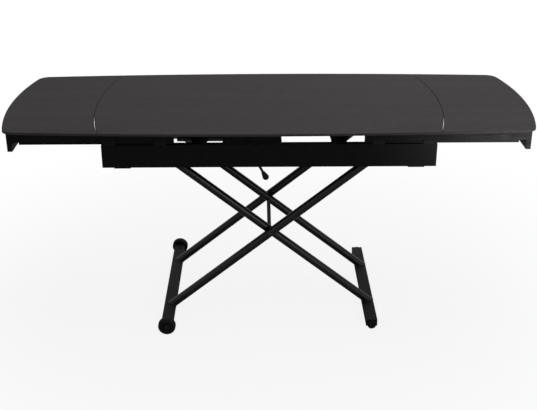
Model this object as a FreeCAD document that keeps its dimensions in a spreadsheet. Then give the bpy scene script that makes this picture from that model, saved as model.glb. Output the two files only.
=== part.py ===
import FreeCAD, Part
import math
import os
import re
import Sketcher

# A lift-and-extend table on a scissor base, shown raised with both leaves out.
# X runs along the table, Y from the front (-Y) to the rear, Z up from the floor.
# The origin is on the floor under the middle of the top. All sizes are millimetres.

SIZES = {
    # Top: a barrel-shaped centre slab and two leaves cut to the same end curve.
    "overall_height": 760,
    "slab_thickness": 8,
    "top_length": 1206,
    "top_depth": 690,
    "side_radius": 12400,
    "end_radius": 1221,
    "leaf_reach": 305.5,
    "joint_gap": 1.2,
    "corner_radius": 45,
    "edge_bevel": 1,
    # Scissor base: two tube frames crossing on one pivot line.
    "leg_angle": 38.7,
    "crossing_share": 0.494,
    "tube_diameter": 30,
    "tube_wall": 2,
    "tube_end": 10,
    "leg_inset": 80,
    "washer_gap": 3,
    "washer_diameter": 22,
    "bar_width": 40,
    "bar_height": 25,
    "bar_wall": 2,
    "wheel_bar_overhang": 50,
    "foot_bar_overhang": 36,
    "foot_bar_lift": 8,
    "plug_depth": 20,
    "wheel_diameter": 62,
    "wheel_width": 24,
    "wheel_gap": 1.5,
    "axle_diameter": 10,
    "hub_cap": 3,
    "tread_round": 4,
    "disc_diameter": 31,
    "disc_width": 8,
    "shaft_diameter": 12,
    "pivot_diameter": 10,
    "bolt_head": 5,
    "tie_diameter": 14,
    "running_clearance": 0.05,
    "body_clearance": 0.3,
    # Chassis: channel rails that the scissor's upper ends hinge and roll in.
    "apron_gap": 61.6,
    "apron_inset": 41,
    "apron_clear": 28,
    "rail_height": 80,
    "rail_flange": 25,
    "sheet": 3,
    "roller_diameter": 22,
    "roller_width": 14,
    "block_length": 36,
    "block_width": 20,
    "block_height": 32,
    "member_width": 40,
    "member_height": 30,
    "member_wall": 2.5,
    "member_spread": 470,
    "beam_width": 50,
    "beam_flare": 20,
    "beam_lip": 16,
    "beam_spread": 470,
    "beam_gap": 4,
    "tray_width": 200,
    "tray_offset": 58,
    "plate_margin": 4,
    "plate_overhang": 16,
    "pad_length": 55,
    "pad_thickness": 3,
    "pad_inset": 67,
    # Leaf carriage: runners in guides, and the drop frame under each leaf.
    "runner_size": 20,
    "runner_wall": 2,
    "runner_offset": 14,
    "runner_length": 515,
    "runner_inset": 10,
    "runner_lift": 2.5,
    "guide_length": 40,
    "guide_wall": 4,
    "guide_inset": 24,
    "guide_spacing": 170,
    "skirt_height": 32,
    "skirt_width": 20,
    "skirt_inset": 43,
    "skirt_length": 530,
    "skirt_relief": 2,
    "panel_height": 64,
    "panel_width": 16,
    "panel_inset": 49,
    "crossbar_width": 25,
    "crossbar_height": 20,
    "crossbar_inset": 60,
    "crossbar_spacing": 133,
    "lift_pin_diameter": 10,
    "lift_pin_height": 25,
    # Traction gas spring and its release lever.
    "cylinder_diameter": 28,
    "spring_clear": 45,
    "cylinder_end": 70,
    "cylinder_wall": 3,
    "rod_diameter": 10,
    "rod_stop": 55,
    "eye_diameter": 26,
    "eye_width": 16,
    "bracket_thickness": 6,
    "bracket_width": 40,
    "lever_x": 46,
    "lever_height": 30,
    "lever_inset": 38,
    "lever_pin": 8,
    "lever_hub": 20,
    "lever_hub_width": 14,
    "lever_rod": 9,
    "lever_drop": 22,
    "lever_slant": 45,
    "lever_lean": 24,
    "knob_length": 31,
    "knob_diameter": 22,
}

# Heights and places that follow from the driving sizes.
DERIVED = {
    "slab_bottom": "overall_height - slab_thickness",
    "half_top": "top_length / 2",
    "half_depth": "top_depth / 2",
    "leaf_start": "half_top + joint_gap",
    "leaf_end": "leaf_start + leaf_reach",
    "chassis_length": "top_length - 2 * apron_inset",
    "chassis_top": "slab_bottom - apron_gap",
    "chassis_bottom": "chassis_top - rail_height",
    "rail_floor": "chassis_bottom + sheet",
    "skirt_face": "half_depth - skirt_inset",
    "skirt_spread": "2 * skirt_face",
    "rail_face": "skirt_face - skirt_width - apron_clear",
    "chassis_depth": "2 * rail_face",
    "rail_lip": "rail_face - rail_flange",
    "rail_end": "chassis_length / 2 - sheet",
    "roller_radius": "roller_diameter / 2",
    "wheel_radius": "wheel_diameter / 2",
    "tube_radius": "tube_diameter / 2",
    "leg_cos": "cos(leg_angle * 1 deg)",
    "leg_sin": "sin(leg_angle * 1 deg)",
    "pivot_height": "rail_floor + roller_radius + body_clearance",
    "leg_length": "(pivot_height - wheel_radius) / leg_sin",
    "lower_half": "leg_length * crossing_share",
    "upper_half": "leg_length - lower_half",
    "base_half": "lower_half * leg_cos",
    "cross_height": "wheel_radius + lower_half * leg_sin",
    "pivot_x": "upper_half * leg_cos",
    "wheel_bar_length": "2 * (rail_face + wheel_bar_overhang)",
    "foot_bar_length": "2 * (rail_face + foot_bar_overhang)",
    "outer_leg_y": "rail_face - leg_inset",
    "inner_leg_y": "outer_leg_y - tube_diameter - washer_gap",
    "member_bottom": "chassis_top - sheet - member_height",
    "beam_end": "rail_lip - beam_gap",
    "pad_x": "chassis_length / 2 - pad_inset",
    "panel_reach": "leaf_end - panel_inset",
    "panel_inner": "panel_reach - panel_width",
    "skirt_bottom": "slab_bottom - skirt_height",
    "skirt_inner_end": "panel_inner - skirt_length",
    "crossbar_bottom": "slab_bottom - crossbar_height",
    "crossbar_outer": "panel_inner - crossbar_inset",
    "crossbar_inner": "crossbar_outer - crossbar_spacing",
    "runner_bottom": "chassis_top + runner_lift",
    "runner_top": "runner_bottom + runner_size",
    "runner_y": "rail_face - runner_offset",
    "runner_spread": "2 * runner_y",
    "runner_outer_end": "panel_inner - runner_inset",
    "runner_inner_end": "runner_outer_end - runner_length",
    "guide_outer": "rail_end - guide_inset",
    "guide_inner": "guide_outer - guide_spacing",
    "cylinder_start": "pivot_x - spring_clear",
    "rod_reach": "pivot_x - cylinder_end - rod_stop",
    "plate_depth": "2 * (rail_face + plate_overhang)",
    "plate_length": "beam_spread + beam_width + 2 * (beam_flare + beam_lip + plate_margin)",
    "lever_pivot": "rail_floor + lever_height",
    "lever_plane": "rail_face - lever_inset",
    "knob_radius": "knob_diameter / 2",
    "knob_middle": "knob_length - knob_radius",
}

AXIS_TURN = {
    "X": FreeCAD.Rotation(FreeCAD.Vector(0, 1, 0), 90),
    "Y": FreeCAD.Rotation(FreeCAD.Vector(1, 0, 0), -90),
    "Z": FreeCAD.Rotation(),
}
HALF_TURN = FreeCAD.Rotation(FreeCAD.Vector(0, 0, 1), 180)
ENDS = {"right": 1, "left": -1}
SIDES = {"front": -1, "rear": 1}

doc = FreeCAD.newDocument("LiftTable")
sheet = doc.addObject("Spreadsheet::Sheet", "Sizes")
for row, (alias, size) in enumerate(SIZES.items(), start=1):
    sheet.set(f"A{row}", alias)
    sheet.set(f"B{row}", str(size))
    sheet.setAlias(f"B{row}", alias)
probe = doc.addObject("Spreadsheet::Sheet", "Probe")
doc.recompute()
nodes = []


def formula(text):
    """Spell a size formula out in sheet aliases."""
    def spell(match):
        word = match.group(0)
        if word in SIZES:
            return f"Sizes.{word}"
        if word in DERIVED:
            return f"({formula(DERIVED[word])})"
        return word
    return re.sub(r"[a-z][a-z_0-9]*", spell, text)


def measure(text):
    """Work a size formula out as a number, for a first position."""
    probe.set("A1", f"={formula(text)}")
    probe.recompute()
    return float(probe.get("A1"))


def bind(thing, **formulas):
    """Bind properties to size formulas."""
    for name, text in formulas.items():
        thing.setExpression(name, formula(text))


def place(thing, spot, turn=None):
    """Put a thing at a spot given as three size formulas."""
    thing.Placement = FreeCAD.Placement(FreeCAD.Vector(), turn or FreeCAD.Rotation())
    for letter, text in zip("xyz", spot):
        thing.setExpression(f"Placement.Base.{letter}", formula(text))


def node(label, thing):
    """Name a finished sub-part."""
    thing.Label = label
    nodes.append(thing)
    return thing


def box(name, spot, size):
    """A block from its lowest corner."""
    block = doc.addObject("Part::Box", name)
    bind(block, Length=size[0], Width=size[1], Height=size[2])
    place(block, spot)
    return block


def rod(name, spot, diameter, length, axis):
    """A round bar from the middle of its first end, along a main axis."""
    bar = doc.addObject("Part::Cylinder", name)
    bind(bar, Radius=f"({diameter}) / 2", Height=length)
    place(bar, spot, AXIS_TURN[axis])
    return bar


def slanted(name, spot, diameter, length, lean):
    """A round bar from the middle of its lower end, leaning along X."""
    bar = doc.addObject("Part::Cylinder", name)
    bind(bar, Radius=f"({diameter}) / 2", Height=length)
    place(bar, spot, FreeCAD.Rotation(FreeCAD.Vector(0, lean, 0), 45))
    bar.setExpression("Placement.Rotation.Angle", formula("90 - leg_angle"))
    return bar


def cut(name, base, *tools):
    """Take every tool away from the base in turn."""
    for count, tool in enumerate(tools, start=1):
        result = doc.addObject("Part::Cut", f"{name}_cut_{count}")
        result.Base = base
        result.Tool = tool
        base = result
    return base


def joined(name, *pieces):
    """Weld pieces into one solid."""
    weld = doc.addObject("Part::MultiFuse", f"{name}_weld")
    weld.Shapes = list(pieces)
    weld.Refine = True
    return weld


def group(name, *pieces):
    """Keep identical loose pieces together in one node."""
    loose = doc.addObject("Part::Compound", f"{name}_group")
    loose.Links = list(pieces)
    return loose


def half_turned(label, twin):
    """The same piece at the other end of the table, turned half round."""
    copy = doc.addObject("Part::Compound", f"{label}_turned")
    copy.Links = [twin]
    copy.Placement = FreeCAD.Placement(FreeCAD.Vector(), HALF_TURN)
    return copy


def new_body(name):
    """A body with its own origin."""
    return doc.addObject("PartDesign::Body", name)


def new_sketch(body, role, name):
    """A sketch on one of a body's own origin planes."""
    sketch = body.newObject("Sketcher::SketchObject", name)
    plane = next(item for item in body.Origin.OriginFeatures if item.Role == role)
    sketch.AttachmentSupport = (plane, [""])
    sketch.MapMode = "FlatFace"
    return sketch


def pin_point(sketch, curve, point, x_text, y_text):
    """Fix a sketch point at two size formulas from the origin."""
    for kind, text in (("DistanceX", x_text), ("DistanceY", y_text)):
        rule = Sketcher.Constraint(kind, -1, 1, curve, point, measure(text))
        index = sketch.addConstraint(rule)
        sketch.setExpression(f"Constraints[{index}]", formula(text))


def outline(sketch, corners):
    """A closed straight-sided outline through corners given as formulas."""
    spots = [FreeCAD.Vector(measure(x), measure(y), 0) for x, y in corners]
    for count, spot in enumerate(spots):
        sketch.addGeometry(Part.LineSegment(spot, spots[(count + 1) % len(spots)]), False)
    for count in range(len(spots)):
        follower = (count + 1) % len(spots)
        sketch.addConstraint(Sketcher.Constraint("Coincident", count, 2, follower, 1))
    for count, (x_text, y_text) in enumerate(corners):
        pin_point(sketch, count, 1, x_text, y_text)


def extruded(name, role, corners, length, spot=("0", "0", "0"), reverse=False):
    """A body of one straight-sided outline, drawn out from a main plane."""
    body = new_body(name)
    sketch = new_sketch(body, role, f"{name}_outline")
    outline(sketch, corners)
    pad = body.newObject("PartDesign::Pad", f"{name}_pad")
    pad.Profile = sketch
    pad.Reversed = reverse
    bind(pad, Length=length)
    place(body, spot)
    return body


def turned(name, profile, spot, turn):
    """A body turned about its own Z axis from a half outline."""
    body = new_body(name)
    sketch = new_sketch(body, "XZ_Plane", f"{name}_profile")
    outline(sketch, profile)
    spin = body.newObject("PartDesign::Revolution", f"{name}_spin")
    spin.Profile = sketch
    spin.ReferenceAxis = (sketch, ["V_Axis"])
    spin.Angle = 360
    place(body, spot, turn)
    return body


def arc_corner(first, second):
    """The corner with the larger X where two circles (x, y, radius) cross."""
    gap_x = second[0] - first[0]
    gap_y = second[1] - first[1]
    span = (gap_x ** 2 + gap_y ** 2) ** 0.5
    along = (span ** 2 + first[2] ** 2 - second[2] ** 2) / (2 * span)
    across = (first[2] ** 2 - along ** 2) ** 0.5
    foot_x = first[0] + along * gap_x / span
    foot_y = first[1] + along * gap_y / span
    choices = []
    for way in (1, -1):
        choices.append((foot_x - way * across * gap_y / span, foot_y + way * across * gap_x / span))
    return FreeCAD.Vector(*max(choices), 0)


def slab(name, near_x, far_x, near_is_mirror):
    """A slab between two long side arcs and two end arcs, seen from above.

    near_x and far_x are the end arcs' outermost points on the X axis. The centre
    slab's near end mirrors its far end; a leaf's near end is hollow, to fit it.
    """
    side_shift = "side_radius - half_depth"
    far_centre = f"{far_x} - end_radius"
    near_centre = f"-({far_centre})" if near_is_mirror else f"{near_x} - end_radius"
    radius = measure("end_radius")
    front = (0, measure(side_shift), measure("side_radius"))
    rear = (0, -front[1], front[2])
    far = (measure(far_centre), 0, radius)
    near = (measure(near_centre), 0, radius)
    far_front = arc_corner(front, far)
    if near_is_mirror:
        near_front = FreeCAD.Vector(-far_front.x, far_front.y, 0)
    else:
        near_front = arc_corner(front, near)
    far_rear = FreeCAD.Vector(far_front.x, -far_front.y, 0)
    near_rear = FreeCAD.Vector(near_front.x, -near_front.y, 0)
    near_way = -1 if near_is_mirror else 1
    middle_x = (far_front.x + near_front.x) / 2
    front_drop = (front[2] ** 2 - middle_x ** 2) ** 0.5
    body = new_body(name)
    sketch = new_sketch(body, "XY_Plane", f"{name}_outline")
    front_middle = FreeCAD.Vector(middle_x, front[1] - front_drop, 0)
    rear_middle = FreeCAD.Vector(middle_x, -front_middle.y, 0)
    far_middle = FreeCAD.Vector(far[0] + radius, 0, 0)
    near_middle = FreeCAD.Vector(near[0] + near_way * radius, 0, 0)
    near_run = (near_rear, near_front) if near_is_mirror else (near_front, near_rear)
    runs = (
        (near_front, front_middle, far_front, "side_radius", ("0", side_shift)),
        (far_front, far_middle, far_rear, "end_radius", (far_centre, "0")),
        (far_rear, rear_middle, near_rear, "side_radius", ("0", f"-({side_shift})")),
        (near_run[0], near_middle, near_run[1], "end_radius", (near_centre, "0")),
    )
    for start, middle, end, _, _ in runs:
        sketch.addGeometry(Part.Arc(start, middle, end), False)
    forward = (1, 2)
    ends = [forward, forward, forward, forward if near_is_mirror else forward[::-1]]
    for count in range(len(runs)):
        follower = (count + 1) % len(runs)
        sketch.addConstraint(
            Sketcher.Constraint("Coincident", count, ends[count][1], follower, ends[follower][0]))
    for count, (_, _, _, size, (centre_x, centre_y)) in enumerate(runs):
        index = sketch.addConstraint(Sketcher.Constraint("Radius", count, measure(size)))
        sketch.setExpression(f"Constraints[{index}]", formula(size))
        pin_point(sketch, count, 3, centre_x, centre_y)
    pad = body.newObject("PartDesign::Pad", f"{name}_pad")
    pad.Profile = sketch
    bind(pad, Length="slab_thickness")
    place(body, ("0", "0", "slab_bottom"))
    return body


def upright_edges(shape, least_x):
    """Names of the upright edges that lie beyond an X."""
    names = []
    for count, edge in enumerate(shape.Edges, start=1):
        top, foot = edge.BoundBox.ZMax, edge.BoundBox.ZMin
        straight_up = edge.BoundBox.XLength < 0.01 and top - foot > 1
        if straight_up and edge.BoundBox.XMin > least_x:
            names.append(f"Edge{count}")
    return names


def rim_edges(shape):
    """Names of the edges round a slab's upper face."""
    level = measure("slab_thickness - edge_bevel / 2")
    names = []
    for count, edge in enumerate(shape.Edges, start=1):
        if min(corner.Z for corner in edge.Vertexes) > level:
            names.append(f"Edge{count}")
    return names


def bevel_rim(body, name):
    """Break the sharp rim of a slab's upper face."""
    doc.recompute()
    base = body.Tip
    bevel = body.newObject("PartDesign::Chamfer", f"{name}_bevel")
    bevel.Base = (base, rim_edges(base.Shape))
    bind(bevel, Size="edge_bevel")
    return body


def make_top():
    """The centre slab and the two leaves."""
    centre = slab("centre_slab", "-half_top", "half_top", True)
    node("centre_top", bevel_rim(centre, "centre_slab"))
    leaf = slab("leaf_slab", "leaf_start", "leaf_end", False)
    doc.recompute()
    base = leaf.Tip
    rounding = leaf.newObject("PartDesign::Fillet", "leaf_corners")
    rounding.Base = (base, upright_edges(base.Shape, measure("half_top + leaf_reach / 2")))
    bind(rounding, Radius="corner_radius")
    bevel_rim(leaf, "leaf_slab")
    node("leaf_top_right", leaf)
    node("leaf_top_left", half_turned("leaf_top_left", leaf))


def make_leaf_frame():
    """Skirts, end panel and crossbars that carry a leaf, at both ends."""
    relief_top = "slab_bottom - skirt_relief"
    skirt_corners = (
        ("skirt_inner_end", "skirt_bottom"),
        ("panel_inner", "skirt_bottom"),
        ("panel_inner", "slab_bottom"),
        ("leaf_start", "slab_bottom"),
        ("leaf_start", relief_top),
        ("skirt_inner_end", relief_top),
    )
    panel = box("panel", ("panel_inner", "-skirt_face", "slab_bottom - panel_height"),
                ("panel_width", "skirt_spread", "panel_height"))
    skirts = {}
    for side, way in SIDES.items():
        start = "-skirt_face" if way < 0 else "skirt_face - skirt_width"
        skirts[side] = extruded(f"skirt_{side}", "XZ_Plane", skirt_corners, "skirt_width",
                                ("0", start, "0"), reverse=True)
    bars = []
    for spot in ("crossbar_inner", "crossbar_outer"):
        blank = box(f"blank_{spot}", (f"{spot} - crossbar_width / 2", "skirt_width - skirt_face",
                                      "crossbar_bottom"),
                    ("crossbar_width", "skirt_spread - 2 * skirt_width", "crossbar_height"))
        holes = []
        for side, way in SIDES.items():
            holes.append(rod(f"hole_{spot}_{side}", (spot, f"{way} * runner_y", "crossbar_bottom"),
                             "lift_pin_diameter + 2 * body_clearance", "crossbar_height", "Z"))
        bars.append(cut(f"bar_{spot}", blank, *holes))
    crossbars = group("crossbars", *bars)
    node("end_panel_right", panel)
    node("end_panel_left", half_turned("end_panel_left", panel))
    node("leaf_skirt_front_right", skirts["front"])
    node("leaf_skirt_rear_right", skirts["rear"])
    node("leaf_skirt_rear_left", half_turned("leaf_skirt_rear_left", skirts["front"]))
    node("leaf_skirt_front_left", half_turned("leaf_skirt_front_left", skirts["rear"]))
    node("leaf_crossbars_right", crossbars)
    node("leaf_crossbars_left", half_turned("leaf_crossbars_left", crossbars))


def make_runners():
    """The runner frames with their lift pins, and the guides on the chassis."""
    length = "runner_outer_end - runner_inner_end"
    tubes = []
    cores = []
    pins = []
    guides = []
    for side, way in SIDES.items():
        low_y = f"{way} * runner_y - runner_size / 2"
        tubes.append(box(f"runner_{side}", ("runner_inner_end", low_y, "runner_bottom"),
                         (length, "runner_size", "runner_size")))
        cores.append(box(f"runner_core_{side}",
                         ("runner_inner_end", f"{low_y} + runner_wall", "runner_bottom + runner_wall"),
                         (f"{length} - runner_size", "runner_size - 2 * runner_wall",
                          "runner_size - 2 * runner_wall")))
        for spot in ("crossbar_inner", "crossbar_outer"):
            pins.append(rod(f"pin_{spot}_{side}", (spot, f"{way} * runner_y", "runner_top"),
                            "lift_pin_diameter", "lift_pin_height", "Z"))
        for spot in ("guide_inner", "guide_outer"):
            shell = box(f"{spot}_{side}", (f"{spot} - guide_length / 2",
                                           f"{low_y} - guide_wall - body_clearance", "chassis_top"),
                        ("guide_length", "runner_size + 2 * guide_wall + 2 * body_clearance",
                         "runner_lift + runner_size + guide_wall"))
            slot = box(f"{spot}_slot_{side}", (f"{spot} - guide_length / 2",
                                               f"{low_y} - body_clearance", "runner_bottom"),
                       ("guide_length", "runner_size + 2 * body_clearance",
                        "runner_size + body_clearance"))
            guides.append(cut(f"{spot}_loop_{side}", shell, slot))
    yoke = box("runner_yoke", ("runner_outer_end - runner_size", "-runner_y", "runner_bottom"),
               ("runner_size", "runner_spread", "runner_size"))
    frame = cut("runner_frame", joined("runner_frame", *tubes, yoke), *cores)
    pin_set = group("lift_pins", *pins)
    guide_set = group("leaf_guides", *guides)
    node("runner_frame_right", frame)
    node("runner_frame_left", half_turned("runner_frame_left", frame))
    node("lift_pins_right", pin_set)
    node("lift_pins_left", half_turned("lift_pins_left", pin_set))
    node("leaf_guides_right", guide_set)
    node("leaf_guides_left", half_turned("leaf_guides_left", guide_set))


def hat_outline():
    """A support beam's pressed hat section: foot, flared webs and two lips under the plate."""
    low = "chassis_top - sheet"
    high = "slab_bottom - sheet"
    near_foot = "beam_spread / 2 - beam_width / 2"
    far_foot = "beam_spread / 2 + beam_width / 2"
    near_top = f"{near_foot} - beam_flare"
    far_top = f"{far_foot} + beam_flare"
    return (
        (near_foot, low),
        (far_foot, low),
        (far_top, f"{high} - sheet"),
        (f"{far_top} + beam_lip", f"{high} - sheet"),
        (f"{far_top} + beam_lip", high),
        (f"{far_top} - sheet", high),
        (f"{far_foot} - sheet", f"{low} + sheet"),
        (f"{near_foot} + sheet", f"{low} + sheet"),
        (f"{near_top} + sheet", high),
        (f"{near_top} - beam_lip", high),
        (f"{near_top} - beam_lip", f"{high} - sheet"),
        (near_top, f"{high} - sheet"),
    )


def make_chassis():
    """Channel rails, end rails, cross members, support beams and pads."""
    web_inner = "rail_face - sheet"
    channel = (
        ("rail_face", "chassis_bottom"),
        ("rail_face", "chassis_top"),
        ("rail_lip", "chassis_top"),
        ("rail_lip", "chassis_top - sheet"),
        (web_inner, "chassis_top - sheet"),
        (web_inner, "rail_floor"),
        ("rail_lip", "rail_floor"),
        ("rail_lip", "chassis_bottom"),
    )
    rear = extruded("channel", "YZ_Plane", channel, "2 * rail_end", ("-rail_end", "0", "0"))
    node("rear_rail", rear)
    node("front_rail", half_turned("front_rail", rear))
    web = box("end_web", ("rail_end", "-rail_face", "chassis_bottom"),
              ("sheet", "chassis_depth", "rail_height"))
    lip = box("end_lip", ("rail_end - rail_flange", "-rail_lip", "chassis_top - sheet"),
              ("rail_flange", "2 * rail_lip", "sheet"))
    end = joined("end_rail", web, lip)
    node("end_rail_right", end)
    node("end_rail_left", half_turned("end_rail_left", end))
    shell = box("member", ("member_spread / 2 - member_width / 2", f"-({web_inner})", "member_bottom"),
                ("member_width", f"2 * ({web_inner})", "member_height"))
    core = box("member_core", ("member_spread / 2 - member_width / 2 + member_wall",
                               f"-({web_inner})", "member_bottom + member_wall"),
               ("member_width - 2 * member_wall", f"2 * ({web_inner})",
                "member_height - 2 * member_wall"))
    member = cut("cross_member", shell, core)
    node("cross_member_right", member)
    node("cross_member_left", half_turned("cross_member_left", member))
    beam = extruded("beam", "XZ_Plane", hat_outline(), "2 * beam_end", ("0", "-beam_end", "0"),
                    reverse=True)
    node("support_beam_right", beam)
    node("support_beam_left", half_turned("support_beam_left", beam))
    node("support_plate", box("plate", ("-plate_length / 2", "-plate_depth / 2", "slab_bottom - sheet"),
                              ("plate_length", "plate_depth", "sheet")))
    pads = []
    for end_name, end_way in ENDS.items():
        for side, way in SIDES.items():
            low_y = "-rail_face" if way < 0 else "rail_lip"
            pads.append(box(f"pad_{end_name}_{side}",
                            (f"{end_way} * pad_x - pad_length / 2", low_y,
                             "chassis_bottom - pad_thickness"),
                            ("pad_length", "rail_flange", "pad_thickness")))
    node("bumper_pads", group("bumper_pads", *pads))


def leg(name, way_x, leg_y, bar_top):
    """A leg tube from its floor bar up past its upper shaft."""
    root = "tube_diameter"
    start = (f"{way_x} * (base_half + {root} * leg_cos)", leg_y, f"wheel_radius - {root} * leg_sin")
    length = f"lower_half + upper_half + {root} + tube_end"
    skin = slanted(f"{name}_skin", start, "tube_diameter", length, -way_x)
    core = slanted(f"{name}_core", start, "tube_diameter - 2 * tube_wall", length, -way_x)
    low_x = "base_half - bar_width / 2" if way_x > 0 else "-base_half - bar_width * 2"
    trim = box(f"{name}_trim", (low_x, f"{leg_y} - tube_diameter", "-tube_diameter"),
               ("bar_width * 2.5", "2 * tube_diameter", f"{bar_top} + tube_diameter"))
    shaft_hole = rod(f"{name}_shaft_hole", (f"{-way_x} * pivot_x", f"{leg_y} - tube_diameter",
                                            "pivot_height"),
                     "shaft_diameter", "2 * tube_diameter", "Y")
    pivot_fit = "pivot_diameter" if way_x < 0 else "pivot_diameter + 2 * running_clearance"
    pivot_hole = rod(f"{name}_pivot_hole", ("0", f"{leg_y} - tube_diameter", "cross_height"),
                     pivot_fit, "2 * tube_diameter", "Y")
    return cut(name, skin, core, trim, shaft_hole, pivot_hole)


def floor_bar(name, centre_x, low_z, length):
    """A hollow rectangular floor bar along Y."""
    shell = box(f"{name}_shell", (f"{centre_x} - bar_width / 2", f"-({length}) / 2", low_z),
                ("bar_width", length, "bar_height"))
    core = box(f"{name}_core", (f"{centre_x} - bar_width / 2 + bar_wall", f"-({length}) / 2",
                                f"{low_z} + bar_wall"),
               ("bar_width - 2 * bar_wall", length, "bar_height - 2 * bar_wall"))
    return cut(name, shell, core)


def bar_plugs(name, centre_x, low_z, length):
    """Two end plugs in a floor bar, bored for the axle or disc screw."""
    plugs = []
    for side, way in SIDES.items():
        end_y = f"-({length}) / 2" if way < 0 else f"({length}) / 2 - plug_depth"
        plugs.append(box(f"{name}_{side}", (f"{centre_x} - bar_width / 2 + bar_wall", end_y,
                                            f"{low_z} + bar_wall"),
                         ("bar_width - 2 * bar_wall", "plug_depth", "bar_height - 2 * bar_wall")))
    return plugs


def end_turn(way):
    """The turn that points a part's own Z axis out of the front or the rear."""
    return FreeCAD.Rotation(FreeCAD.Vector(1, 0, 0), -90 * way)


def make_outer_frame():
    """The outer leg frame on wheels, hinged to the chassis on its upper shaft."""
    bar_low = "wheel_radius - bar_height / 2"
    bar_top = "wheel_radius + bar_height / 2"
    for side, way in SIDES.items():
        node(f"outer_leg_{side}", leg(f"outer_leg_{side}_tube", -1, f"{way} * outer_leg_y", bar_top))
    node("wheel_bar", floor_bar("wheel_bar_tube", "-base_half", bar_low, "wheel_bar_length"))
    axle_start = "wheel_bar_length / 2 - plug_depth"
    axle_length = "plug_depth + wheel_gap + wheel_width + body_clearance"
    plugs = bar_plugs("wheel_plug", "-base_half", bar_low, "wheel_bar_length")
    bored = []
    axles = []
    for plug, (side, way) in zip(plugs, SIDES.items()):
        spot = ("-base_half", f"{way} * ({axle_start})", "wheel_radius")
        bore = doc.addObject("Part::Cylinder", f"plug_bore_{side}")
        bind(bore, Radius="axle_diameter / 2", Height="plug_depth")
        place(bore, spot, end_turn(way))
        bored.append(cut(f"bored_plug_{side}", plug, bore))
        profile = (
            ("-axle_diameter", axle_length),
            ("-axle_diameter", f"{axle_length} + hub_cap"),
            ("0", f"{axle_length} + hub_cap"),
            ("0", "0"),
            ("-axle_diameter / 2", "0"),
            ("-axle_diameter / 2", axle_length),
        )
        axles.append(turned(f"axle_{side}", profile, spot, end_turn(way)))
    node("wheel_bar_plugs", group("wheel_bar_plugs", *bored))
    node("wheel_axles", group("wheel_axles", *axles))
    for side, way in SIDES.items():
        bore = "-(axle_diameter / 2 + running_clearance)"
        rim = "-wheel_radius"
        profile = (
            (bore, "0"),
            (f"{rim} + tread_round", "0"),
            (rim, "tread_round"),
            (rim, "wheel_width - tread_round"),
            (f"{rim} + tread_round", "wheel_width"),
            (f"{rim} + 2 * tread_round", "wheel_width"),
            (f"{rim} + 2.5 * tread_round", "wheel_width - hub_cap"),
            (f"{bore} - 2 * tread_round", "wheel_width - hub_cap"),
            (f"{bore} - 1.5 * tread_round", "wheel_width"),
            (bore, "wheel_width"),
        )
        spot = ("-base_half", f"{way} * (wheel_bar_length / 2 + wheel_gap)", "wheel_radius")
        node(f"wheel_{side}", turned(f"wheel_{side}_body", profile, spot, end_turn(way)))
    node("outer_shaft", rod("outer_shaft_bar", ("pivot_x", "-(rail_face - 2 * sheet)", "pivot_height"),
                            "shaft_diameter", "2 * (rail_face - 2 * sheet)", "Y"))
    for side, way in SIDES.items():
        low_y = f"{way} * (rail_face - sheet - block_width / 2) - block_width / 2"
        blank = box(f"hinge_blank_{side}", ("pivot_x - block_length / 2", low_y, "rail_floor"),
                    ("block_length", "block_width", "block_height"))
        bore = rod(f"hinge_bore_{side}", ("pivot_x", low_y, "pivot_height"),
                   "shaft_diameter + 2 * running_clearance", "block_width", "Y")
        node(f"hinge_block_{side}", cut(f"hinge_block_{side}_body", blank, bore))


def make_inner_frame():
    """The inner leg frame on levelling discs, rolling in the chassis rails."""
    bar_top = "foot_bar_lift + bar_height"
    for side, way in SIDES.items():
        node(f"inner_leg_{side}", leg(f"inner_leg_{side}_tube", 1, f"{way} * inner_leg_y", bar_top))
    node("foot_bar", floor_bar("foot_bar_tube", "base_half", "foot_bar_lift", "foot_bar_length"))
    plugs = bar_plugs("foot_plug", "base_half", "foot_bar_lift", "foot_bar_length")
    node("foot_bar_plugs", group("foot_bar_plugs", *plugs))
    for side, way in SIDES.items():
        profile = (
            ("0", "0"),
            ("-disc_diameter / 2", "0"),
            ("-disc_diameter / 2", "disc_width - edge_bevel"),
            ("edge_bevel - disc_diameter / 2", "disc_width"),
            ("-disc_diameter / 6", "disc_width"),
            ("edge_bevel - disc_diameter / 6", "disc_width - edge_bevel"),
            ("0", "disc_width - edge_bevel"),
        )
        spot = ("base_half", f"{way} * foot_bar_length / 2", "disc_diameter / 2")
        node(f"levelling_disc_{side}", turned(f"disc_{side}", profile, spot, end_turn(way)))
    reach = "rail_face - 2 * sheet"
    node("inner_shaft", rod("inner_shaft_bar", ("-pivot_x", f"-({reach})", "pivot_height"),
                            "shaft_diameter", f"2 * ({reach})", "Y"))
    for side, way in SIDES.items():
        low_y = f"{way} * ({reach} - roller_width / 2 - body_clearance) - roller_width / 2"
        tyre = rod(f"roller_tyre_{side}", ("-pivot_x", low_y, "pivot_height"),
                   "roller_diameter", "roller_width", "Y")
        bore = rod(f"roller_bore_{side}", ("-pivot_x", low_y, "pivot_height"),
                   "shaft_diameter + 2 * running_clearance", "roller_width", "Y")
        node(f"roller_{side}", cut(f"roller_{side}_body", tyre, bore))


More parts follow.
